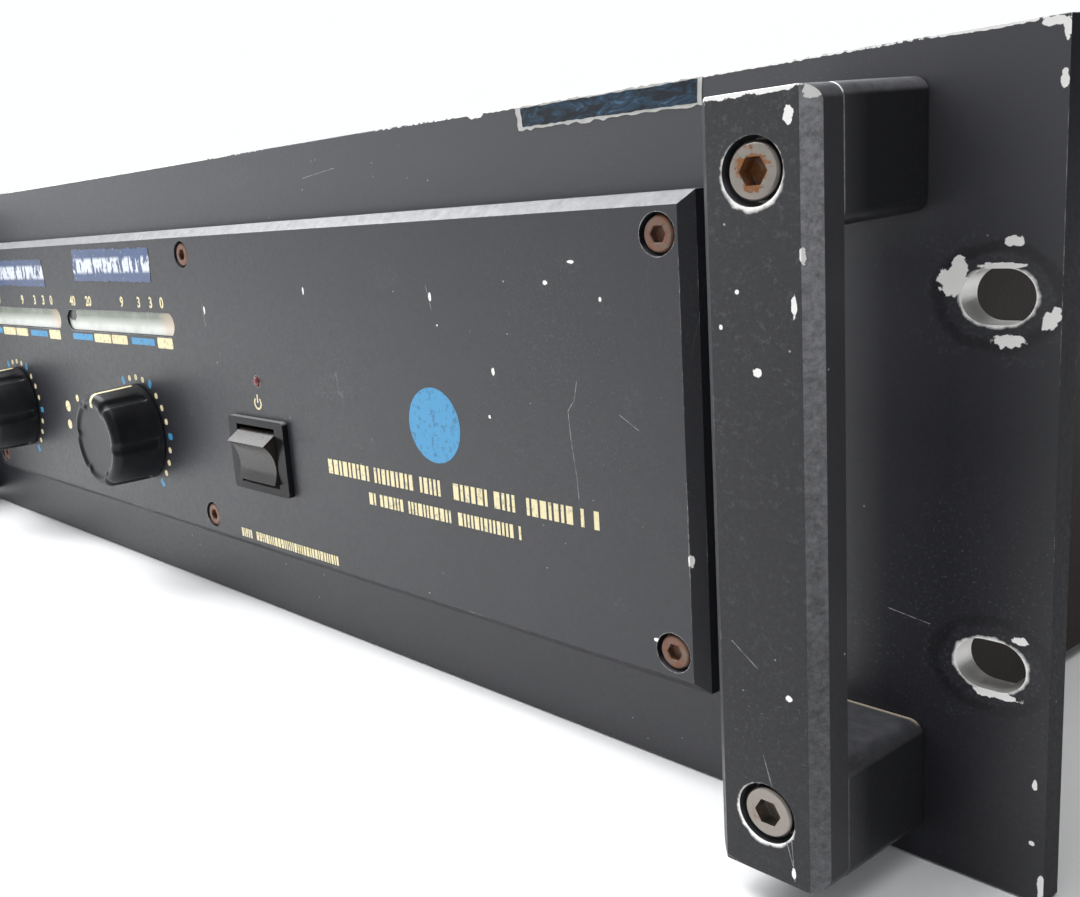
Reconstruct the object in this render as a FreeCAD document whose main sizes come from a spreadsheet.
import FreeCAD, Part

import math
import os

import Sketcher
from FreeCAD import Placement, Rotation, Vector

# Rack power amplifier, 19 inches wide and three units high.
# Frame: origin at the middle of the front panel's back face, which is the face that rests on
# the rack rails. +X is to the right seen from the front, +Y goes back into the rack, +Z is up.
# All sizes are millimetres.

os.makedirs("parts", exist_ok=True)
doc = FreeCAD.newDocument("PowerAmplifier")

DRIVING_SIZES = {
    # front panel, to the 19 inch rack standard
    "panel_width": 482.6, "panel_height": 132.5, "panel_depth": 4.76,
    "slot_spacing_x": 465.1, "slot_spacing_z": 57.15, "slot_length": 10.6, "slot_width": 8.2,
    # raised fascia plate
    "fascia_width": 364.8, "fascia_height": 94.8, "fascia_depth": 4.76, "fascia_bevel": 2.3,
    "fascia_screw_x": 175.5, "fascia_screw_z": 40.0, "small_screw_radius": 1.9,
    "fascia_counterbore_radius": 4.0, "fascia_counterbore_depth": 3.0,
    # handles
    "handle_x": 212.5, "handle_width": 19.6, "handle_height": 122.0, "grip_depth": 7.0,
    "grip_bevel": 2.2, "grip_corner": 2.6, "leg_height": 19.8, "leg_depth": 22.0, "leg_corner": 2.4,
    "handle_screw_z": 50.0, "handle_hole_radius": 2.7, "handle_screw_radius": 2.5,
    "grip_counterbore_radius": 5.0, "grip_counterbore_depth": 4.5,
    # level controls
    "knob_x": -41.0, "knob_pitch": 105.0, "knob_z": -17.5, "knob_radius": 16.0, "knob_depth": 17.5,
    "knob_gap": 0.4, "shaft_radius": 3.0, "bushing_radius": 4.7, "pot_radius": 12.0,
    # level meters
    "meter_x": -49.6, "meter_pitch": 85.9, "meter_z": 18.7, "meter_length": 80.0, "meter_width": 7.4,
    "led_bar_length": 70.0, "led_bar_width": 5.0, "led_slot_length": 72.4, "led_slot_width": 6.4,
    # power switch and lamp
    "switch_x": 33.4, "switch_z": -17.0, "bezel_width": 28.4, "bezel_height": 21.4,
    "bezel_depth": 1.8, "switch_width": 25.0, "switch_height": 18.5, "rocker_pivot_depth": 7.0,
    "lamp_x": 34.5, "lamp_z": 4.1, "lamp_radius": 1.45,
    # chassis
    "chassis_width": 406.4, "chassis_bottom": -64.0, "chassis_top": 62.8, "chassis_depth": 300.0,
    "sheet": 1.6, "cover_depth": 1.2, "flange": 13.2,
    # cooling
    "sink_start": 100.0, "sink_length": 162.0, "sink_inner": 46.0, "sink_base": 6.0,
    "sink_top": 50.0, "fin_depth": 2.2, "fin_reach": 34.0, "fin_pitch": 11.0,
    "fan_size": 92.0, "fan_depth": 25.0, "fan_bore": 43.5, "fan_screw_spacing": 82.5,
    # power supply
    "transformer_x": -137.0, "transformer_y": 92.0, "transformer_radius": 59.0,
    "transformer_hole": 18.0, "transformer_height": 60.0,
    "capacitor_radius": 21.0, "capacitor_height": 84.0,
    # rear connectors
    "post_x": -104.0, "post_z": 27.0, "post_spacing": 19.05, "inlet_x": -164.0, "inlet_z": -27.0,
    "breaker_z": 27.0, "xlr_x": 100.0, "xlr_pitch": 55.0, "xlr_z": 18.0,
}


class Size:
    """A length together with the sheet expression that gives it."""

    def __init__(self, text, value):
        self.text = text
        self.value = value

    def __add__(self, other):
        other = size(other)
        return Size(f"({self.text} + {other.text})", self.value + other.value)

    def __sub__(self, other):
        other = size(other)
        return Size(f"({self.text} - {other.text})", self.value - other.value)

    def __mul__(self, number):
        return Size(f"({self.text} * {number})", self.value * number)

    def __truediv__(self, number):
        return Size(f"({self.text} / {number})", self.value / number)

    def __neg__(self):
        return Size(f"(-1 * {self.text})", -self.value)

    __radd__ = __add__
    __rmul__ = __mul__


def size(given):
    """Turns a sheet alias or a plain number into a Size."""
    if isinstance(given, Size):
        return given
    if isinstance(given, str):
        return Size("Sizes." + given, DRIVING_SIZES[given])
    return Size(f"({given})", float(given))


sheet = doc.addObject("Spreadsheet::Sheet", "Sizes")
for row, (alias, number) in enumerate(DRIVING_SIZES.items(), start=1):
    sheet.set(f"A{row}", alias.replace("_", " "))
    sheet.set(f"B{row}", str(number))
    sheet.setAlias(f"B{row}", alias)
doc.recompute()

nodes = {}


def bind(thing, path, length):
    thing.setExpression(path, size(length).text)


def place(thing, x=0, y=0, z=0, rotation=None):
    """Puts a sub-part's own origin at a place in the amplifier's frame."""
    thing.Placement = Placement(Vector(0, 0, 0), rotation or Rotation())
    for axis, coordinate in zip("xyz", (x, y, z)):
        bind(thing, f".Placement.Base.{axis}", coordinate)


# ---------------------------------------------------------------- sketch outlines

def fix_point(sketch, geometry, point, x, y):
    """Ties one point of a sketch line or arc to its place from the sketch's origin."""
    for kind, coordinate in (("DistanceX", size(x)), ("DistanceY", size(y))):
        index = sketch.addConstraint(
            Sketcher.Constraint(kind, -1, 1, geometry, point, coordinate.value))
        sketch.setExpression(f"Constraints[{index}]", coordinate.text)


def fix_radius(sketch, geometry, radius):
    index = sketch.addConstraint(Sketcher.Constraint("Radius", geometry, size(radius).value))
    sketch.setExpression(f"Constraints[{index}]", size(radius).text)


def outline(sketch, points):
    """A closed outline of straight lines through the given points."""
    points = [(size(x), size(y)) for x, y in points]
    lines = []
    for start, end in zip(points, points[1:] + points[:1]):
        line = Part.LineSegment(Vector(start[0].value, start[1].value, 0),
                                Vector(end[0].value, end[1].value, 0))
        lines.append(sketch.addGeometry(line, False))
    for line, following in zip(lines, lines[1:] + lines[:1]):
        sketch.addConstraint(Sketcher.Constraint("Coincident", line, 2, following, 1))
    for line, (x, y) in zip(lines, points):
        fix_point(sketch, line, 1, x, y)


def rectangle(sketch, x, y, width, height):
    x, y, half, rise = size(x), size(y), size(width) / 2, size(height) / 2
    outline(sketch, [(x - half, y - rise), (x + half, y - rise),
                     (x + half, y + rise), (x - half, y + rise)])


def circle(sketch, x, y, radius):
    x, y, radius = size(x), size(y), size(radius)
    shape = Part.Circle(Vector(x.value, y.value, 0), Vector(0, 0, 1), radius.value)
    index = sketch.addGeometry(shape, False)
    fix_point(sketch, index, 3, x, y)
    fix_radius(sketch, index, radius)


def rounded_outline(sketch, corners, radius):
    """Arcs round the given centres, in order, joined by lines that leave them smoothly."""
    radius = size(radius)
    corners = [(size(x), size(y), start, end) for x, y, start, end in corners]
    arcs, lines = [], []
    for x, y, start, end in corners:
        ring = Part.Circle(Vector(x.value, y.value, 0), Vector(0, 0, 1), radius.value)
        arcs.append(sketch.addGeometry(
            Part.ArcOfCircle(ring, math.radians(start), math.radians(end)), False))
    for (x, y, _, end), (next_x, next_y, start, _) in zip(corners, corners[1:] + corners[:1]):
        leave = Vector(x.value, y.value, 0) + Vector(
            math.cos(math.radians(end)), math.sin(math.radians(end)), 0) * radius.value
        arrive = Vector(next_x.value, next_y.value, 0) + Vector(
            math.cos(math.radians(start)), math.sin(math.radians(start)), 0) * radius.value
        lines.append(sketch.addGeometry(Part.LineSegment(leave, arrive), False))
    for arc, line, following in zip(arcs, lines, arcs[1:] + arcs[:1]):
        sketch.addConstraint(Sketcher.Constraint("Tangent", arc, 2, line, 1))
        sketch.addConstraint(Sketcher.Constraint("Tangent", line, 2, following, 1))
    for arc, (x, y, _, _) in zip(arcs, corners):
        fix_point(sketch, arc, 3, x, y)
        fix_radius(sketch, arc, radius)


def rounded_rectangle(sketch, x, y, width, height, radius):
    x, y = size(x), size(y)
    half, rise = size(width) / 2 - radius, size(height) / 2 - radius
    rounded_outline(sketch, [(x - half, y - rise, 180, 270), (x + half, y - rise, 270, 360),
                             (x + half, y + rise, 0, 90), (x - half, y + rise, 90, 180)], radius)


def stadium(sketch, x, y, length, width):
    """A slot outline that runs along the sketch's first axis."""
    x, y = size(x), size(y)
    radius = size(width) / 2
    reach = size(length) / 2 - radius
    rounded_outline(sketch, [(x - reach, y, 90, 270), (x + reach, y, -90, 90)], radius)


def hexagon(sketch, across_flats):
    radius = across_flats / math.sqrt(3)
    outline(sketch, [(round(radius * math.cos(math.radians(60 * corner)), 4),
                      round(radius * math.sin(math.radians(60 * corner)), 4))
                     for corner in range(6)])


# ---------------------------------------------------------------- PartDesign bodies

class Piece:
    """One PartDesign body. Sketch planes are named by the directions that they hold."""

    ROLES = {"XY": "XY_Plane", "XZ": "XZ_Plane", "YZ": "YZ_Plane"}

    def __init__(self, label, is_node=True):
        self.body = doc.addObject("PartDesign::Body", label)
        self.body.Label = label
        if is_node:
            nodes[label] = self.body

    def sketch(self, plane, at=0):
        """A sketch on an origin plane, moved to the coordinate `at` along its normal.

        The XZ plane's own normal is -Y, so its offset is the opposite of `at`."""
        sketch = self.body.newObject("Sketcher::SketchObject", self.body.Label + "_sketch")
        origin = self.body.Origin.OriginFeatures
        support = [feature for feature in origin if feature.Role == self.ROLES[plane]][0]
        sketch.AttachmentSupport = [(support, "")]
        sketch.MapMode = "FlatFace"
        offset = -size(at) if plane == "XZ" else size(at)
        bind(sketch, ".AttachmentOffset.Base.z", offset)
        return sketch

    def feature(self, kind, profile):
        feature = self.body.newObject("PartDesign::" + kind, self.body.Label + "_" + kind.lower())
        feature.Profile = profile
        profile.Visibility = False
        return feature

    def pad(self, profile, length, reverse=False, both=False):
        feature = self.feature("Pad", profile)
        bind(feature, "Length", length)
        feature.Reversed = reverse
        feature.Midplane = both
        return feature

    def cut_through(self, profile):
        before = self.volume()
        feature = self.feature("Pocket", profile)
        feature.Type = 1
        feature.Midplane = True
        self.confirm_cut(before)
        return feature

    def cut(self, profile, depth, reverse=False):
        """A blind pocket. Unless reversed it goes against the sketch plane's normal."""
        before = self.volume()
        feature = self.feature("Pocket", profile)
        bind(feature, "Length", depth)
        feature.Reversed = reverse
        self.confirm_cut(before)
        return feature

    def revolve(self, profile, axis):
        feature = self.feature("Revolution", profile)
        feature.ReferenceAxis = (profile, [axis])
        feature.Angle = 360.0
        return feature

    def origin_axis(self, letter):
        origin = self.body.Origin.OriginFeatures
        return [feature for feature in origin if feature.Role == letter + "_Axis"][0]

    def polar(self, feature, axis, count):
        """Repeats a feature round one of the body's own axes."""
        pattern = self.body.newObject("PartDesign::PolarPattern", self.body.Label + "_polar")
        pattern.Originals = [feature]
        pattern.Axis = (self.origin_axis(axis), [""])
        pattern.Angle = 360.0
        pattern.Occurrences = count
        self.body.Tip = pattern

    def repeat(self, feature, sketch, axis, reach, count):
        pattern = self.body.newObject("PartDesign::LinearPattern", self.body.Label + "_row")
        pattern.Originals = [feature]
        pattern.Direction = (sketch, [axis])
        bind(pattern, "Length", reach)
        pattern.Occurrences = count
        self.body.Tip = pattern

    def bevel(self, length, wanted):
        """Chamfers the edges for which wanted(edge) is true."""
        doc.recompute()
        base = self.body.Tip
        names = [f"Edge{number}" for number, edge in enumerate(base.Shape.Edges, start=1)
                 if wanted(edge)]
        feature = self.body.newObject("PartDesign::Chamfer", self.body.Label + "_bevel")
        feature.Base = (base, names)
        bind(feature, "Size", length)

    def volume(self):
        doc.recompute()
        return self.body.Shape.Volume

    def confirm_cut(self, before):
        if self.volume() >= before - 1e-6:
            raise RuntimeError("a pocket cut nothing in " + self.body.Label)


# ---------------------------------------------------------------- Part primitives

def box(label, low, high):
    """A Part::Box between two opposite corners."""
    shape = doc.addObject("Part::Box", label)
    for path, start, end in zip(("Length", "Width", "Height"), low, high):
        bind(shape, path, size(end) - start)
    place(shape, *low)
    return shape


TURNS = {"X": Rotation(Vector(0, 1, 0), 90), "Y": Rotation(Vector(1, 0, 0), -90), "Z": Rotation()}


def cylinder(label, base, axis, radius, length):
    """A Part::Cylinder that starts at base and runs along a positive axis."""
    shape = doc.addObject("Part::Cylinder", label)
    bind(shape, "Radius", radius)
    bind(shape, "Height", length)
    place(shape, *base, rotation=TURNS[axis])
    return shape


def as_node(label, shape):
    shape.Label = label
    nodes[label] = shape
    return shape


def fused(label, shapes):
    union = doc.addObject("Part::MultiFuse", label)
    union.Shapes = shapes
    return union


def cut_away(label, base, tool):
    result = doc.addObject("Part::Cut", label)
    result.Base = base
    result.Tool = tool
    return result


def copies(label, master, places, rotation=None):
    """One node that holds the same piece at several places, as separate solids."""
    links = []
    for number, spot in enumerate(places, start=1):
        link = doc.addObject("App::Link", f"{label}_{number}")
        link.LinkedObject = master
        place(link, *spot, rotation=rotation)
        links.append(link)
    group = doc.addObject("Part::Compound", label)
    group.Links = links
    return as_node(label, group)


def on_both_sides(x):
    return (size(x), -size(x))


# ---------------------------------------------------------------- shared places

panel_front = -size("panel_depth")
fascia_front = panel_front - "fascia_depth"
grip_back = panel_front - "leg_depth"
knob_places = [size("knob_x"), size("knob_x") - "knob_pitch"]
meter_places = [size("meter_x"), size("meter_x") - "meter_pitch"]
handle_spots = [(x, z) for x in on_both_sides("handle_x") for z in on_both_sides("handle_screw_z")]
fascia_spots = [(x, z) for x in (-size("fascia_screw_x"), size(0), size("fascia_screw_x"))
                for z in on_both_sides("fascia_screw_z")]
PANEL_SCREWS = [(x, z) for x in (-90, 90) for z in (-42, 42)]
COVER_SCREWS = [(x, y) for x in (-196, 196) for y in (20, 150, 280)]
REAR_SCREWS = [(x, z) for x in (-197, 197) for z in (-50, 0, 50)]
floor_top = size("chassis_bottom") + "sheet"
rear_face = size("chassis_depth")
rear_inside = rear_face - "sheet"
inner_half = size("chassis_width") / 2 - "sheet"
ENTRY_GAP = 0.4          # total play of the switch in its openings
PANEL_HOLE_RADIUS, PANEL_RECESS_RADIUS, PANEL_RECESS_DEPTH = 2.1, 4.0, 2.6
THREAD_HOLE_RADIUS, CLEARANCE_HOLE_RADIUS = 1.45, 1.6
FAN_HOLE_RADIUS = 2.2
BLADE_WIDTH, BLADE_DEPTH = 6.3, 0.8     # a push-on terminal blade
OUTPUT_STATIONS = [size("sink_start") + 21 + 30 * number for number in range(5)]
BOARD_DEPTH = 1.6


def control_openings(sketch):
    """The openings that the front panel and the chassis wall behind it share."""
    for x in knob_places:
        circle(sketch, x, "knob_z", size("bushing_radius") + 0.15)
    for x in meter_places:
        rectangle(sketch, x, "meter_z", "led_slot_length", "led_slot_width")
    rectangle(sketch, "switch_x", "switch_z", size("switch_width") + ENTRY_GAP,
              size("switch_height") + ENTRY_GAP)
    circle(sketch, "lamp_x", "lamp_z", size("lamp_radius") + 0.15)
    for x, z in PANEL_SCREWS:
        circle(sketch, x, z, PANEL_HOLE_RADIUS)


# ---------------------------------------------------------------- front panel and fascia

def make_front_panel():
    panel = Piece("front_panel")
    profile = panel.sketch("XZ", 0)
    rectangle(profile, 0, 0, "panel_width", "panel_height")
    panel.pad(profile, "panel_depth")
    openings = panel.sketch("XZ", 0)
    for x in on_both_sides(size("slot_spacing_x") / 2):
        for z in on_both_sides(size("slot_spacing_z") / 2):
            stadium(openings, x, z, "slot_length", "slot_width")
    for x, z in handle_spots:
        circle(openings, x, z, "handle_hole_radius")
    for x, z in fascia_spots:
        circle(openings, x, z, size("small_screw_radius") + 0.1)
    control_openings(openings)
    panel.cut_through(openings)
    recesses = panel.sketch("XZ", panel_front)
    for x, z in PANEL_SCREWS:
        circle(recesses, x, z, PANEL_RECESS_RADIUS)
    panel.cut(recesses, PANEL_RECESS_DEPTH)


def make_fascia():
    fascia = Piece("fascia_plate")
    profile = fascia.sketch("XZ", panel_front)
    rectangle(profile, 0, 0, "fascia_width", "fascia_height")
    fascia.pad(profile, "fascia_depth")
    fascia.bevel("fascia_bevel",
                 lambda edge: edge.BoundBox.YMax < fascia_front.value + 0.01)
    openings = fascia.sketch("XZ", panel_front)
    nut_opening_radius = 8.3
    for x in meter_places:
        stadium(openings, x, "meter_z", "meter_length", "meter_width")
    for x in knob_places:
        circle(openings, x, "knob_z", nut_opening_radius)
    rectangle(openings, "switch_x", "switch_z", size("switch_width") + ENTRY_GAP,
              size("switch_height") + ENTRY_GAP)
    circle(openings, "lamp_x", "lamp_z", size("lamp_radius") + 0.15)
    for x, z in fascia_spots:
        circle(openings, x, z, size("small_screw_radius") + 0.2)
    fascia.cut_through(openings)
    recesses = fascia.sketch("XZ", fascia_front)
    for x, z in fascia_spots:
        circle(recesses, x, z, "fascia_counterbore_radius")
    fascia.cut(recesses, "fascia_counterbore_depth")


def socket_screw(label, head_radius, head_height, shank_radius, shank_length, key, key_depth):
    """A socket cap screw. Its origin is under the head, and the shank runs along +Y."""
    screw = Piece(label, is_node=False)
    edge = 0.4
    profile = screw.sketch("YZ")
    outline(profile, [(-head_height, 0), (-head_height, head_radius - edge),
                      (-head_height + edge, head_radius), (0, head_radius), (0, shank_radius),
                      (shank_length, shank_radius), (shank_length, 0)])
    screw.revolve(profile, "H_Axis")
    recess = screw.sketch("XZ", -head_height)
    hexagon(recess, key)
    screw.cut(recess, key_depth)
    return screw.body


def pan_screw(label, head_radius, head_height, shank_radius, shank_length):
    """A cross-recess pan screw. Its origin is under the head, and the shank runs along +Y."""
    screw = Piece(label, is_node=False)
    profile = screw.sketch("YZ")
    outline(profile, [(-head_height, 0), (-head_height, head_radius * 0.6),
                      (-head_height * 0.55, head_radius), (0, head_radius), (0, shank_radius),
                      (shank_length, shank_radius), (shank_length, 0)])
    screw.revolve(profile, "H_Axis")
    recess = screw.sketch("XZ", -head_height)
    arm, half = head_radius * 0.5, 0.35
    outline(recess, [(-arm, -half), (-half, -half), (-half, -arm), (half, -arm), (half, -half),
                     (arm, -half), (arm, half), (half, half), (half, arm), (-half, arm),
                     (-half, half), (-arm, half)])
    screw.cut(recess, head_height * 0.6)
    return screw.body


def make_front_screws():
    fascia_seat = fascia_front + "fascia_counterbore_depth"
    screw = socket_screw("fascia_screw", 3.4, 2.7, DRIVING_SIZES["small_screw_radius"], 6.2, 3.0, 1.6)
    copies("fascia_screws", screw, [(x, fascia_seat, z) for x, z in fascia_spots])
    panel_seat = panel_front + PANEL_RECESS_DEPTH
    screw = pan_screw("panel_screw", 3.8, 2.4, 1.95, 8.0)
    copies("panel_screws", screw, [(x, panel_seat, z) for x, z in PANEL_SCREWS])


# ---------------------------------------------------------------- handles

def make_grip(label, x):
    """A bar with bevelled front edges and rounded ends, bolted through two legs."""
    grip = Piece(label)
    half, rise, depth = size("handle_width") / 2, size("handle_height") / 2, size("grip_depth")
    section = grip.sketch("XY", -rise)
    shoulder, crest = depth - "grip_bevel", half - "grip_bevel"
    outline(section, [(-half, 0), (half, 0), (half, -shoulder), (crest, -depth),
                      (-crest, -depth), (-half, -shoulder)])
    grip.pad(section, "handle_height")
    ends = grip.sketch("XZ")
    rectangle(ends, 0, 0, size("handle_width") + 8, size("handle_height") + 8)
    rounded_rectangle(ends, 0, 0, "handle_width", "handle_height", "grip_corner")
    grip.cut_through(ends)
    holes = grip.sketch("XZ")
    for z in on_both_sides("handle_screw_z"):
        circle(holes, 0, z, "handle_hole_radius")
    grip.cut_through(holes)
    recesses = grip.sketch("XZ", -depth)
    for z in on_both_sides("handle_screw_z"):
        circle(recesses, 0, z, "grip_counterbore_radius")
    grip.cut(recesses, "grip_counterbore_depth")
    place(grip.body, x, grip_back, 0)


def make_leg(label, x, upper):
    """A square block with rounded edges that holds the grip off the panel."""
    leg = Piece(label)
    profile = leg.sketch("XZ")
    rounded_rectangle(profile, 0, 0, "handle_width", "leg_height", "leg_corner")
    leg.pad(profile, "leg_depth")
    middle = size("handle_height") / 2 - size("leg_height") / 2
    hole = leg.sketch("XZ")
    offset = size("handle_screw_z") - middle
    circle(hole, 0, offset if upper else -offset, "handle_hole_radius")
    leg.cut_through(hole)
    place(leg.body, x, panel_front, middle if upper else -middle)


def make_handles():
    for side, x in zip(("right", "left"), on_both_sides("handle_x")):
        make_grip(f"grip_{side}", x)
        make_leg(f"upper_leg_{side}", x, True)
        make_leg(f"lower_leg_{side}", x, False)
    seat = grip_back - "grip_depth" + "grip_counterbore_depth"
    shank = DRIVING_SIZES["leg_depth"] + DRIVING_SIZES["panel_depth"] + 10.0
    screw = socket_screw("handle_screw", 4.25, 4.2, DRIVING_SIZES["handle_screw_radius"], shank,
                         4.0, 2.6)
    copies("handle_screws", screw, [(x, seat, z) for x, z in handle_spots])
    nut = Piece("handle_nut", is_node=False)
    washer_depth, nut_depth, across_flats, running_gap = 1.0, 4.0, 8.0, 0.06
    washer = nut.sketch("XZ", washer_depth)
    circle(washer, 0, 0, across_flats * 0.58)
    nut.pad(washer, washer_depth)
    flats = nut.sketch("XZ", washer_depth + nut_depth)
    hexagon(flats, across_flats)
    nut.pad(flats, nut_depth)
    bore = nut.sketch("XZ")
    circle(bore, 0, 0, size("handle_screw_radius") + running_gap)
    nut.cut_through(bore)
    copies("handle_nuts", nut.body, [(x, 0, z) for x, z in handle_spots])


# ---------------------------------------------------------------- level controls

def make_knob(label, x):
    """A knob with a rounded rim, a dished front and six finger flutes.

    It is turned a few degrees clockwise from straight up, which is the middle of its travel."""
    knob = Piece(label)
    depth, radius = size("knob_depth"), size("knob_radius")
    bore, bore_depth, dish = size("shaft_radius") + 0.03, 12.0, 0.7
    profile = knob.sketch("YZ")
    outline(profile, [(0, bore), (0, radius), (-depth + 2.4, radius - 0.4),
                      (-depth + 0.8, radius - 1.0), (-depth, radius - 2.3), (-depth, radius - 3.4),
                      (-depth + dish, radius - 4.2), (-depth + dish, 0), (-bore_depth, 0),
                      (-bore_depth, bore)])
    knob.revolve(profile, "H_Axis")
    flute = knob.sketch("XZ", -depth)
    circle(flute, radius + 1.3, 0, 2.5)
    groove = knob.cut(flute, depth - 2.0)
    knob.polar(groove, "Y", 6)
    place(knob.body, x, fascia_front - "knob_gap", "knob_z", Rotation(Vector(0, 1, 0), 6))


def make_control(letter, x):
    make_knob(f"level_knob_{letter}", x)
    shaft_tip = fascia_front - "knob_gap" - 11.5
    shaft = cylinder(f"level_shaft_{letter}", (x, shaft_tip, "knob_z"), "Y", "shaft_radius",
                     size(5.5) - shaft_tip)
    as_node(f"level_shaft_{letter}", shaft)
    pot = Piece(f"level_pot_{letter}")
    bore = size("shaft_radius") + 0.05
    profile = pot.sketch("YZ")
    back = size("sheet")
    outline(profile, [(-7.4, bore), (-7.4, "bushing_radius"), (back, "bushing_radius"),
                      (back, "pot_radius"), (12, "pot_radius"), (12, 0), (6, 0), (6, bore)])
    pot.revolve(profile, "H_Axis")
    terminals = pot.sketch("XY", size("pot_radius") * -1 - 6)
    for offset in (-5, 0, 5):
        rectangle(terminals, offset, 8, 1.6, 0.8)
    pot.pad(terminals, 8.0)
    place(pot.body, x, 0, "knob_z")


def make_controls():
    for letter, x in zip("ab", knob_places):
        make_control(letter, x)
    nut = Piece("pot_nut", is_node=False)
    across_flats, nut_depth, running_gap = 14.0, 2.0, 0.06
    flats = nut.sketch("XZ")
    hexagon(flats, across_flats)
    nut.pad(flats, nut_depth)
    bore = nut.sketch("XZ")
    circle(bore, 0, 0, size("bushing_radius") + running_gap)
    nut.cut_through(bore)
    copies("pot_nuts", nut.body, [(x, panel_front, "knob_z") for x in knob_places])


# ---------------------------------------------------------------- level meters

def make_meters():
    bar_front, bar_depth, window_depth, window_play = -4.6, 9.6, 3.9, 0.4
    first_gap, gap_width, gap_depth, gap_row, gap_count = -28, 0.6, 0.8, 56, 9
    for letter, x in zip("ab", meter_places):
        window = Piece(f"meter_window_{letter}")
        profile = window.sketch("XZ")
        stadium(profile, 0, 0, size("meter_length") - window_play,
                size("meter_width") - window_play)
        window.pad(profile, window_depth)
        place(window.body, x, panel_front - 0.02, "meter_z")
        bar = Piece(f"led_bar_{letter}")
        front = bar.sketch("XZ", bar_front)
        rectangle(front, 0, 0, "led_bar_length", "led_bar_width")
        bar.pad(front, bar_depth, reverse=True)
        gap = bar.sketch("XZ", bar_front)
        rectangle(gap, first_gap, 0, gap_width, size("led_bar_width") + 1)
        groove = bar.cut(gap, gap_depth)
        bar.repeat(groove, gap, "H_Axis", gap_row, gap_count)
        place(bar.body, x, 0, "meter_z")
    board = box("meter_board", (-180, 5.0, 4.0), (-6, 6.6, 34.0))
    as_node("meter_board", board)


# ---------------------------------------------------------------- power switch and lamp

def make_switch():
    cavity_width, cavity_height, cavity_depth, half_swing = 19.6, 17.2, 14.0, 12
    pin_radius, pin_length, running_gap = 1.2, 21.0, 0.08
    body_depth, bezel_corner, blade_length = 26.0, 1.2, 8.0
    housing = Piece("switch_housing")
    bezel = housing.sketch("XZ", fascia_front)
    rounded_rectangle(bezel, 0, 0, "bezel_width", "bezel_height", bezel_corner)
    housing.pad(bezel, "bezel_depth")
    body = housing.sketch("XZ", fascia_front)
    rectangle(body, 0, 0, "switch_width", "switch_height")
    housing.pad(body, body_depth, reverse=True)
    mouth = housing.sketch("XZ", fascia_front - "bezel_depth")
    rectangle(mouth, 0, 0, cavity_width, cavity_height)
    housing.cut(mouth, cavity_depth)
    pivot = housing.sketch("YZ")
    circle(pivot, -size("rocker_pivot_depth"), 0, pin_radius + running_gap)
    housing.cut_through(pivot)
    blades = housing.sketch("XZ", fascia_front + body_depth)
    for x in (-7, 7):
        for z in (-5, 5):
            rectangle(blades, x, z, BLADE_WIDTH, BLADE_DEPTH)
    housing.pad(blades, blade_length, reverse=True)
    place(housing.body, "switch_x", 0, "switch_z")

    rocker = Piece("power_rocker")
    profile = rocker.sketch("YZ")
    front, rise, dish_depth = -7.2, 5.9, 2.2
    dish = Part.Arc(Vector(front, rise, 0), Vector(front + dish_depth, 0, 0),
                    Vector(front, -rise, 0))
    corners = [(front, -rise), (-1.5, -8.0), (2.5, -6.0), (2.5, 6.0), (-1.5, 8.0), (front, rise)]
    lines = [profile.addGeometry(Part.LineSegment(Vector(*start, 0), Vector(*end, 0)), False)
             for start, end in zip(corners, corners[1:])]
    arc = profile.addGeometry(dish, False)
    for line, (y, z) in zip(lines, corners):
        fix_point(profile, line, 1, y, z)
    fix_point(profile, lines[-1], 2, *corners[-1])
    for line, following in zip(lines, lines[1:]):
        profile.addConstraint(Sketcher.Constraint("Coincident", line, 2, following, 1))
    arc_ends = (1, 2) if profile.getPoint(arc, 1).y > 0 else (2, 1)
    profile.addConstraint(Sketcher.Constraint("Coincident", lines[-1], 2, arc, arc_ends[0]))
    profile.addConstraint(Sketcher.Constraint("Coincident", arc, arc_ends[1], lines[0], 1))
    fix_radius(profile, arc, round((rise ** 2 + dish_depth ** 2) / (2 * dish_depth), 4))
    rocker.pad(profile, cavity_width - 0.6, both=True)
    pin = rocker.sketch("YZ")
    circle(pin, 0, 0, pin_radius)
    rocker.pad(pin, pin_length, both=True)
    place(rocker.body, "switch_x", -size("rocker_pivot_depth"), "switch_z",
          Rotation(Vector(1, 0, 0), half_swing))


def make_lamp():
    """A round indicator lamp with a domed tip and a collar behind the chassis wall."""
    lamp = Piece("power_led")
    tip = size(0.9) - fascia_front
    profile = lamp.sketch("YZ")
    radius = size("lamp_radius")
    outline(profile, [(-tip, 0), (-tip + 0.15, radius * 0.55), (-tip + 0.6, radius * 0.92),
                      (-tip + 1.1, radius), ("sheet", radius), ("sheet", radius + 0.6),
                      (3.0, radius + 0.6), (3.0, 0)])
    lamp.revolve(profile, "H_Axis")
    place(lamp.body, "lamp_x", 0, "lamp_z")


# ---------------------------------------------------------------- chassis

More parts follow.
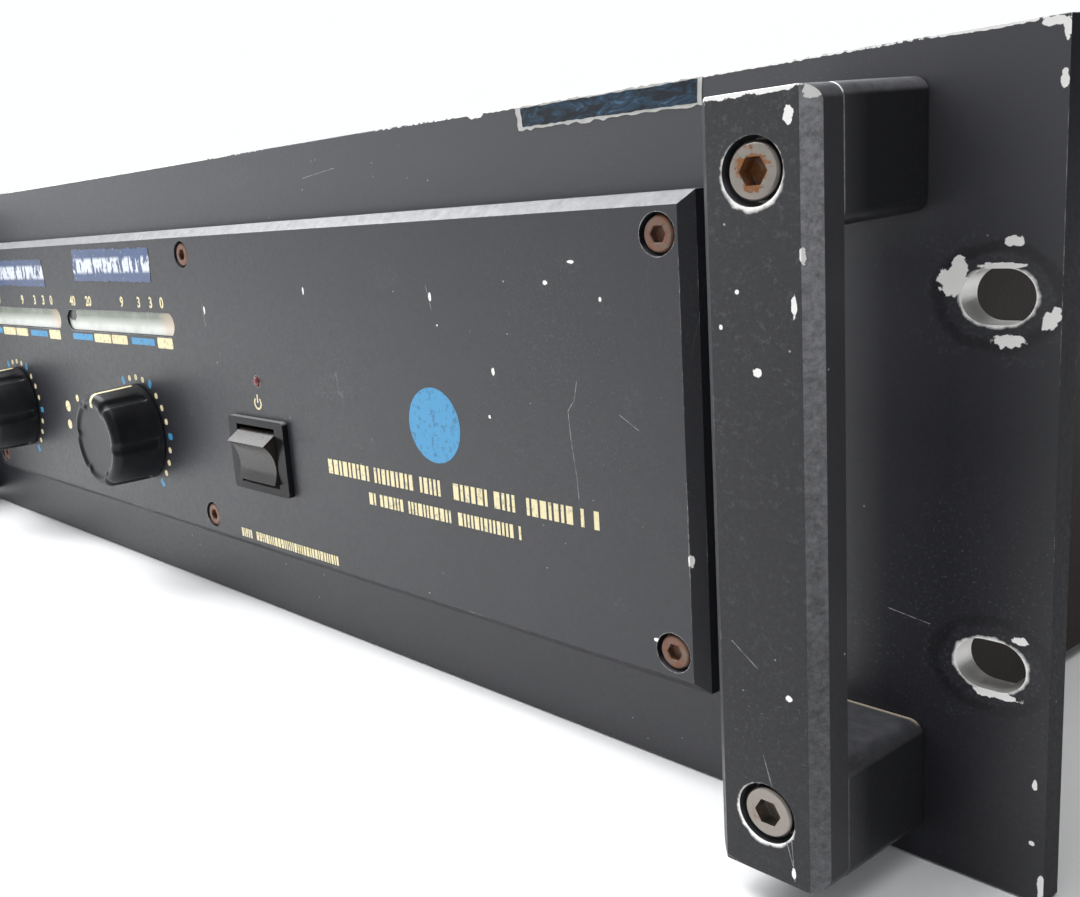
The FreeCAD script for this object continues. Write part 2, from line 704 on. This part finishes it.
def make_chassis():
    tray = Piece("chassis_base")
    half, low, top = size("chassis_width") / 2, size("chassis_bottom"), size("chassis_top")
    sheet_depth, lip = size("sheet"), size("chassis_width") / 2 - "flange"
    section = tray.sketch("XZ")
    outline(section, [(-half, top), (-half, low), (half, low), (half, top), (lip, top),
                      (lip, top - sheet_depth), (inner_half, top - sheet_depth),
                      (inner_half, floor_top), (-inner_half, floor_top),
                      (-inner_half, top - sheet_depth), (-lip, top - sheet_depth), (-lip, top)])
    tray.pad(section, rear_inside, reverse=True)
    wall = tray.sketch("XZ")
    middle = (floor_top + top) / 2
    rectangle(wall, 0, middle - 0.05, half * 2 - 0.2, top - floor_top + 0.1)
    tray.pad(wall, "sheet", reverse=True)
    rear_flanges = tray.sketch("XZ", rear_inside)
    for x in on_both_sides(half - 7.0):
        rectangle(rear_flanges, x, middle, 12.0, top - floor_top - 1)
    tray.pad(rear_flanges, "sheet")
    openings = tray.sketch("XZ")
    control_openings(openings)
    tray.cut(openings, size("sheet") + 0.2)
    first_vent, vent_width, vent_height, vent_row, vent_count = 110, 4.0, 70.0, 99, 12
    vent = tray.sketch("YZ")
    rectangle(vent, first_vent, 0, vent_width, vent_height)
    slot = tray.cut_through(vent)
    tray.repeat(slot, vent, "H_Axis", vent_row, vent_count)
    screw_holes = tray.sketch("XY", top)
    for x, y in COVER_SCREWS:
        circle(screw_holes, x, y, THREAD_HOLE_RADIUS)
    tray.cut(screw_holes, size("sheet") + 0.4)
    rear_holes = tray.sketch("XZ", rear_inside)
    for x, z in REAR_SCREWS:
        circle(rear_holes, x, z, THREAD_HOLE_RADIUS)
    tray.cut(rear_holes, size("sheet") + 0.4, reverse=True)
    bolt_hole = tray.sketch("XY", floor_top)
    circle(bolt_hole, "transformer_x", "transformer_y", 3.1)
    tray.cut(bolt_hole, size("sheet") + 0.4)


def make_cover():
    cover = Piece("top_cover")
    profile = cover.sketch("XY", "chassis_top")
    rectangle(profile, 0, rear_face / 2 + 0.15, "chassis_width", rear_face - 0.3)
    cover.pad(profile, "cover_depth")
    vent_y, vent_length, vent_width, vent_row, vent_count = 190, 80.0, 4.0, 80, 9
    for start_x in (-40, -150, 70):
        vent = cover.sketch("XY", "chassis_top")
        stadium_along_y(vent, start_x, vent_y, vent_length, vent_width)
        slot = cover.cut_through(vent)
        cover.repeat(slot, vent, "H_Axis", vent_row, vent_count)
    holes = cover.sketch("XY", "chassis_top")
    for x, y in COVER_SCREWS:
        circle(holes, x, y, CLEARANCE_HOLE_RADIUS)
    cover.cut_through(holes)


def stadium_along_y(sketch, x, y, length, width):
    radius = size(width) / 2
    reach = size(length) / 2 - radius
    rounded_outline(sketch, [(x, size(y) - reach, 180, 360), (x, size(y) + reach, 0, 180)], radius)


def make_rear_panel():
    panel = Piece("rear_panel")
    profile = panel.sketch("XZ", rear_face)
    middle = (size("chassis_bottom") + "chassis_top") / 2
    rectangle(profile, 0, middle, "chassis_width", size("chassis_top") - "chassis_bottom")
    panel.pad(profile, "sheet")
    openings = panel.sketch("XZ", rear_face)
    for number in range(2):
        circle(openings, size("xlr_x") + size("xlr_pitch") * number, "xlr_z", 12.1)
    rectangle(openings, "inlet_x", "inlet_z", 27.4, 20.4)
    circle(openings, "inlet_x", "breaker_z", 5.1)
    for x, z in post_spots:
        circle(openings, x, z, 3.6)
    for x in on_both_sides(size("fan_screw_spacing") / 2):
        for z in on_both_sides(size("fan_screw_spacing") / 2):
            circle(openings, x, z, FAN_HOLE_RADIUS)
    for x, z in REAR_SCREWS:
        circle(openings, x, z, CLEARANCE_HOLE_RADIUS)
    panel.cut_through(openings)
    slot_inside, slot_outside, slot_half_width, slot_count = 18, 38, 2.0, 20
    slot = panel.sketch("XZ", rear_face)
    rounded_outline(slot, [(0, slot_inside, 180, 360), (0, slot_outside, 0, 180)], slot_half_width)
    grille = panel.cut_through(slot)
    panel.polar(grille, "Y", slot_count)


def make_cover_and_rear_screws():
    screw = pan_screw("cover_screw", 2.8, 1.8, 1.35, 3.6)
    lid_top = size("chassis_top") + "cover_depth"
    copies("cover_screws", screw, [(x, y, lid_top) for x, y in COVER_SCREWS],
           Rotation(Vector(1, 0, 0), -90))
    copies("rear_screws", screw, [(x, rear_face, z) for x, z in REAR_SCREWS],
           Rotation(Vector(0, 0, 1), 180))
    fan_screw = pan_screw("fan_screw", 3.4, 2.0, 2.0, 7.5)
    spots = [(x, rear_face + 1.6, z) for x in on_both_sides(size("fan_screw_spacing") / 2)
             for z in on_both_sides(size("fan_screw_spacing") / 2)]
    copies("fan_screws", fan_screw, spots, Rotation(Vector(0, 0, 1), 180))


# ---------------------------------------------------------------- cooling

def make_heat_sink(side, sign):
    """Extruded aluminium, fins towards the middle, standing on the chassis floor."""
    sink = Piece(f"heat_sink_{side}")
    inner, outer = size("sink_inner"), size("sink_inner") + "sink_base"
    base = sink.sketch("XZ", "sink_start")
    outline(base, [(inner * sign, floor_top), (outer * sign, floor_top),
                   (outer * sign, "sink_top"), (inner * sign, "sink_top")])
    sink.pad(base, "sink_length", reverse=True)
    fin = sink.sketch("XZ", "sink_start")
    middle = inner - size("fin_reach") / 2
    rectangle(fin, (middle + 0.1) * sign, -44, size("fin_reach") + 0.2, "fin_depth")
    rib = sink.pad(fin, "sink_length", reverse=True)
    sink.repeat(rib, fin, "V_Axis", size("fin_pitch") * 8, 9)


def make_transistors(side, sign):
    """Round power transistors in a row on the flat face of the heat sink."""
    flange_length, flange_width, flange_corner, flange_depth = 25.0, 38.0, 9.0, 1.6
    can_radius, can_height, height_on_sink = 10.0, 8.0, 8
    case = Piece(f"power_transistor_{side}", is_node=False)
    base = case.sketch("YZ")
    rounded_rectangle(base, 0, 0, flange_length, flange_width, flange_corner)
    case.pad(base, flange_depth, reverse=sign < 0)
    can = case.sketch("YZ")
    circle(can, 0, 0, can_radius)
    case.pad(can, can_height, reverse=sign < 0)
    face = (size("sink_inner") + "sink_base") * sign
    spots = [(face, y, height_on_sink) for y in OUTPUT_STATIONS]
    copies(f"output_transistors_{side}", case.body, spots)


def make_amp_board(side, sign):
    """A driver board that stands on the floor beside its heat sink, with its large parts."""
    gap_to_sink, board_top = 11, 46
    resistor_z, resistor_length, resistor_width, resistor_depth = 30, 22.0, 8.0, 9.0
    first_can, can_pitch, can_z, can_radius, can_height = 16, 25, -20, 5.0, 13.0
    board = Piece(f"amp_board_{side}")
    near = (size("sink_inner") + "sink_base" + gap_to_sink) * sign
    plate = board.sketch("YZ", near)
    start, end = size("sink_start"), size("sink_start") + "sink_length"
    outline(plate, [(start, floor_top), (end, floor_top), (end, board_top), (start, board_top)])
    board.pad(plate, BOARD_DEPTH, reverse=sign < 0)
    resistors = board.sketch("YZ", near)
    for y in OUTPUT_STATIONS:
        rectangle(resistors, y, resistor_z, resistor_length, resistor_width)
    board.pad(resistors, resistor_depth, reverse=sign < 0)
    cans = board.sketch("YZ", near)
    for number in range(6):
        circle(cans, size("sink_start") + first_can + can_pitch * number, can_z, can_radius)
    board.pad(cans, can_height, reverse=sign < 0)


def make_fan():
    """An axial fan whose hub arms face the rear grille."""
    depth = size("fan_depth")
    mount_hole_radius, hub_radius, boss_radius, boss_length = 2.15, 17.0, 12.0, 13.0
    arm_middle, arm_width, arm_reach, arm_depth, arm_count = 30.5, 6.0, 28.6, 3.6, 3
    bearing_radius, bearing_depth = 2.06, 11.0
    blade_start, blade_reach, blade_count = 16.8, 24.7, 7
    frame = Piece("fan_frame")
    outer = frame.sketch("XZ")
    rounded_rectangle(outer, 0, 0, "fan_size", "fan_size", 4.0)
    frame.pad(outer, depth)
    duct = frame.sketch("XZ")
    circle(duct, 0, 0, "fan_bore")
    half = size("fan_screw_spacing") / 2
    for x in on_both_sides(half):
        for z in on_both_sides(half):
            circle(duct, x, z, mount_hole_radius)
    frame.cut_through(duct)
    hub = frame.sketch("XZ")
    circle(hub, 0, 0, hub_radius)
    frame.pad(hub, arm_depth)
    boss = frame.sketch("XZ")
    circle(boss, 0, 0, boss_radius)
    frame.pad(boss, boss_length)
    arm = frame.sketch("XZ")
    rectangle(arm, 0, arm_middle, arm_width, arm_reach)
    strut = frame.pad(arm, arm_depth)
    frame.polar(strut, "Y", arm_count)
    bearing = frame.sketch("XZ", -boss_length)
    circle(bearing, 0, 0, bearing_radius)
    frame.cut(bearing, bearing_depth)
    place(frame.body, 0, rear_inside, 0)

    rotor = Piece("fan_rotor")
    cup = rotor.sketch("YZ")
    outline(cup, [(-19.8, 0), (-19.8, 16.0), (-18.0, 18.0), (-6.0, 18.0), (-6.0, 13.0),
                  (-16.5, 13.0), (-16.5, 2.0), (-4.0, 2.0), (-4.0, 0)])
    rotor.revolve(cup, "H_Axis")
    blade = rotor.sketch("XY", blade_start)
    outline(blade, [(-9.0, -18.5), (-7.0, -18.5), (9.0, -6.5), (7.0, -6.5)])
    vane = rotor.pad(blade, blade_reach)
    rotor.polar(vane, "Y", blade_count)
    place(rotor.body, 0, rear_inside, 0)


def make_fan_guard():
    """A wire guard: four rings, two crossing wires and an eyelet at each fan screw."""
    wire, rest, end_gap = 1.0, rear_face + 2.4, 3.5
    eyelet_radius, eyelet_depth = 4.2, 1.6
    rings = []
    for radius in (12, 22, 32, 42):
        ring = doc.addObject("Part::Torus", f"guard_ring_{radius}")
        bind(ring, "Radius1", radius)
        bind(ring, "Radius2", wire)
        place(ring, 0, rest, 0, TURNS["Y"])
        rings.append(ring)
    half = size("fan_screw_spacing") / 2
    diagonal = half * math.sqrt(2)
    for number, angle in enumerate((45, 135)):
        cross = doc.addObject("Part::Cylinder", f"guard_wire_{number}")
        bind(cross, "Radius", wire)
        bind(cross, "Height", (diagonal - end_gap) * 2)
        turn = Rotation(Vector(0, 1, 0), angle)
        start = turn.multVec(Vector(0, 0, -1))
        reach = diagonal - end_gap
        place(cross, reach * round(start.x, 6), rest - 0.2, reach * round(start.z, 6), turn)
        rings.append(cross)
    eyelets = []
    for x in on_both_sides(half):
        for z in on_both_sides(half):
            name = f"guard_eyelet_{len(eyelets)}"
            outer = cylinder(name, (x, rear_face, z), "Y", eyelet_radius, eyelet_depth)
            bore = cylinder(name + "_bore", (x, rear_face - 1, z), "Y", FAN_HOLE_RADIUS, 4.0)
            eyelets.append(cut_away(name + "_ring", outer, bore))
    as_node("fan_guard", fused("fan_guard", rings + eyelets))


# ---------------------------------------------------------------- power supply

def make_power_supply():
    x, y = size("transformer_x"), size("transformer_y")
    radius, hole, height = (size("transformer_radius"), size("transformer_hole"),
                            size("transformer_height"))
    winding = Piece("transformer")
    profile = winding.sketch("XZ")
    rounded_rectangle(profile, (radius + hole) / 2, height / 2, radius - hole, height, 12.0)
    winding.revolve(profile, "V_Axis")
    place(winding.body, x, y, floor_top)
    plate = Piece("transformer_plate")
    dish = plate.sketch("XZ")
    outline(dish, [(3.3, 0), (16, 0), (20, 3.0), (46, 3.0), (46, 4.6), (19, 4.6), (15, 1.6),
                   (3.3, 1.6)])
    plate.revolve(dish, "V_Axis")
    place(plate.body, x, y, floor_top + height - 2.9)
    bolt = Piece("transformer_bolt")
    bolt_radius, bolt_start, head_start, across_flats, head_height = 3.0, 1.5, 1.3, 10.0, 4.0
    shank = bolt.sketch("XY", -bolt_start)
    circle(shank, 0, 0, bolt_radius)
    bolt.pad(shank, height + 0.1)
    head = bolt.sketch("XY", height - head_start)
    hexagon(head, across_flats)
    bolt.pad(head, head_height)
    place(bolt.body, x, y, floor_top)

    can = Piece("filter_capacitor", is_node=False)
    tall, wide = size("capacitor_height"), size("capacitor_radius")
    side = can.sketch("XZ")
    outline(side, [(0, 0), (wide - 1, 0), (wide, 1), (wide, tall - 2), (wide - 1, tall - 1),
                   (wide - 2, tall - 2.5), (0, tall - 2.5)])
    can.revolve(side, "V_Axis")
    terminal_radius, terminal_height = 3.5, 7.0
    terminals = can.sketch("XY", tall - 2.5)
    for offset in (-6, 6):
        circle(terminals, offset, 0, terminal_radius)
    can.pad(terminals, terminal_height)
    copies("filter_capacitors", can.body,
           [(cx, cy, floor_top) for cx in (115, 165) for cy in (50, 100)])

    block_width, block_corner, block_height, tab_height = 28.5, 3.0, 10.0, 8.0
    bridge = Piece("rectifier", is_node=False)
    block = bridge.sketch("XY")
    rounded_rectangle(block, 0, 0, block_width, block_width, block_corner)
    bridge.pad(block, block_height)
    tabs = bridge.sketch("XY", block_height)
    for tab_x in (-9, 9):
        for tab_y in (-9, 9):
            rectangle(tabs, tab_x, tab_y, BLADE_WIDTH, BLADE_DEPTH)
    bridge.pad(tabs, tab_height)
    copies("rectifiers", bridge.body, [(bx, 200, floor_top) for bx in (-165, -110)])


# ---------------------------------------------------------------- rear connectors

post_spots = [(size("post_x") + size("post_spacing") * step, z)
              for z in on_both_sides("post_z") for step in (-0.5, 0.5)]


def make_inputs():
    """Two three-pole sockets, soldered to one board behind the rear panel."""
    flange_width, flange_height, flange_corner, flange_depth = 26.0, 31.0, 3.0, 2.0
    barrel_radius, barrel_depth = 12.0, 28.0
    groove_outside, groove_inside, groove_depth = 9.8, 8.0, 14.0
    contact_ring, contact_radius, contact_depth = 3.9, 1.3, 12.0
    for number, side in enumerate(("left", "right")):
        socket = Piece(f"xlr_input_{side}")
        flange = socket.sketch("XZ")
        rounded_rectangle(flange, 0, 0, flange_width, flange_height, flange_corner)
        socket.pad(flange, flange_depth, reverse=True)
        barrel = socket.sketch("XZ")
        circle(barrel, 0, 0, barrel_radius)
        socket.pad(barrel, barrel_depth)
        groove = socket.sketch("XZ", flange_depth)
        circle(groove, 0, 0, groove_outside)
        circle(groove, 0, 0, groove_inside)
        socket.cut(groove, groove_depth, reverse=True)
        contacts = socket.sketch("XZ", flange_depth)
        for angle in (40, 140, 270):
            turn = math.radians(angle)
            circle(contacts, round(contact_ring * math.cos(turn), 3),
                   round(contact_ring * math.sin(turn), 3), contact_radius)
        socket.cut(contacts, contact_depth, reverse=True)
        place(socket.body, size("xlr_x") + size("xlr_pitch") * number, rear_face, "xlr_z")
    behind = rear_face - barrel_depth
    board = box("input_board", (80, behind - BOARD_DEPTH, -45), (190, behind, 45))
    as_node("input_board", board)


def make_binding_posts():
    base = Piece("binding_post", is_node=False)
    profile = base.sketch("YZ")
    outline(profile, [(-7, 0), (-7, 5.5), (-1.6, 5.5), (-1.6, 3.5), (0, 3.5), (0, 7.5),
                      (3.4, 7.5), (4.2, 6.7), (4.2, 2.0), (18, 2.0), (18, 0)])
    base.revolve(profile, "H_Axis")
    copies("binding_posts", base.body, [(x, rear_face, z) for x, z in post_spots])
    cap_end, cap_bore = 20.5, 2.07
    flute_ring, flute_radius, flute_length, flute_count = 7.3, 1.3, 15.0, 10
    for number, (x, z) in enumerate(post_spots, start=1):
        cap = Piece(f"post_cap_{number}")
        skirt = cap.sketch("YZ")
        outline(skirt, [(4.8, cap_bore), (4.8, 5.6), (6.2, 6.6), (19.0, 6.6), (cap_end, 5.4),
                        (cap_end, cap_bore)])
        cap.revolve(skirt, "H_Axis")
        flute = cap.sketch("XZ", cap_end)
        circle(flute, 0, flute_ring, flute_radius)
        groove = cap.cut(flute, flute_length, reverse=True)
        cap.polar(groove, "Y", flute_count)
        place(cap.body, x, rear_face, z)


def make_inlet_and_breaker():
    shell_width, shell_height, shell_depth = 27.0, 20.0, 22.0
    flange_width, flange_height, flange_corner, flange_depth = 34.0, 26.0, 2.0, 2.4
    mouth_width, mouth_height, mouth_depth = 24.4, 16.4, 19.0
    contact_width, contact_height, contact_start, contact_length = 2.0, 5.0, 16.8, 13.0
    inlet = Piece("mains_inlet")
    flange = inlet.sketch("XZ")
    rounded_rectangle(flange, 0, 0, flange_width, flange_height, flange_corner)
    inlet.pad(flange, flange_depth, reverse=True)
    shell = inlet.sketch("XZ")
    rectangle(shell, 0, 0, shell_width, shell_height)
    inlet.pad(shell, shell_depth)
    mouth = inlet.sketch("XZ", flange_depth)
    rectangle(mouth, 0, 0, mouth_width, mouth_height)
    inlet.cut(mouth, mouth_depth, reverse=True)
    blades = inlet.sketch("XZ", -contact_start)
    for x, z in ((-7, -2), (0, 2.5), (7, -2)):
        rectangle(blades, x, z, contact_width, contact_height)
    inlet.pad(blades, contact_length, reverse=True)
    place(inlet.body, "inlet_x", rear_face, "inlet_z")

    breaker = Piece("breaker_body")
    neck = breaker.sketch("YZ")
    outline(neck, [(-9, 3.6), (-9, 5.0), (0, 5.0), (0, 7.5), (3.0, 7.5), (3.0, 3.6)])
    breaker.revolve(neck, "H_Axis")
    case_width, case_height, case_start, case_depth, wall = 14.0, 30.0, 8.0, 16.0, 2.0
    button_bore = 3.6
    case = breaker.sketch("XZ", -case_start)
    rectangle(case, 0, 0, case_width, case_height)
    circle(case, 0, 0, button_bore)
    breaker.pad(case, case_depth)
    back = breaker.sketch("XZ", -case_start - case_depth)
    rectangle(back, 0, 0, case_width, case_height)
    breaker.pad(back, wall)
    place(breaker.body, "inlet_x", rear_face, "breaker_z")
    button = Piece("breaker_button")
    shape = button.sketch("YZ")
    outline(shape, [(-19.5, 0), (-19.5, 3.5), (4.0, 3.5), (4.8, 2.7), (4.8, 0)])
    button.revolve(shape, "H_Axis")
    place(button.body, "inlet_x", rear_face, "breaker_z")


def check_and_export():
    """Stops on a failed feature or a bad solid, then writes one STEP file for each node."""
    doc.recompute()
    for item in doc.Objects:
        if "Invalid" in item.State or "Error" in item.State:
            raise RuntimeError(f"{item.Label} did not compute: {item.State}")
    for label, item in nodes.items():
        if item.Shape.isNull() or not item.Shape.isValid():
            raise RuntimeError(label + " has no valid shape")
    for label, item in nodes.items():
        item.Shape.exportStep(f"parts/{label}.step")
    print(len(nodes), "nodes written")


make_front_panel()
make_fascia()
make_front_screws()
make_handles()
make_controls()
make_meters()
make_switch()
make_lamp()
make_chassis()
make_cover()
make_rear_panel()
make_cover_and_rear_screws()
for side_name, direction in (("right", 1), ("left", -1)):
    make_heat_sink(side_name, direction)
    make_transistors(side_name, direction)
    make_amp_board(side_name, direction)
make_fan()
make_fan_guard()
make_power_supply()
make_inputs()
make_binding_posts()
make_inlet_and_breaker()
check_and_export()
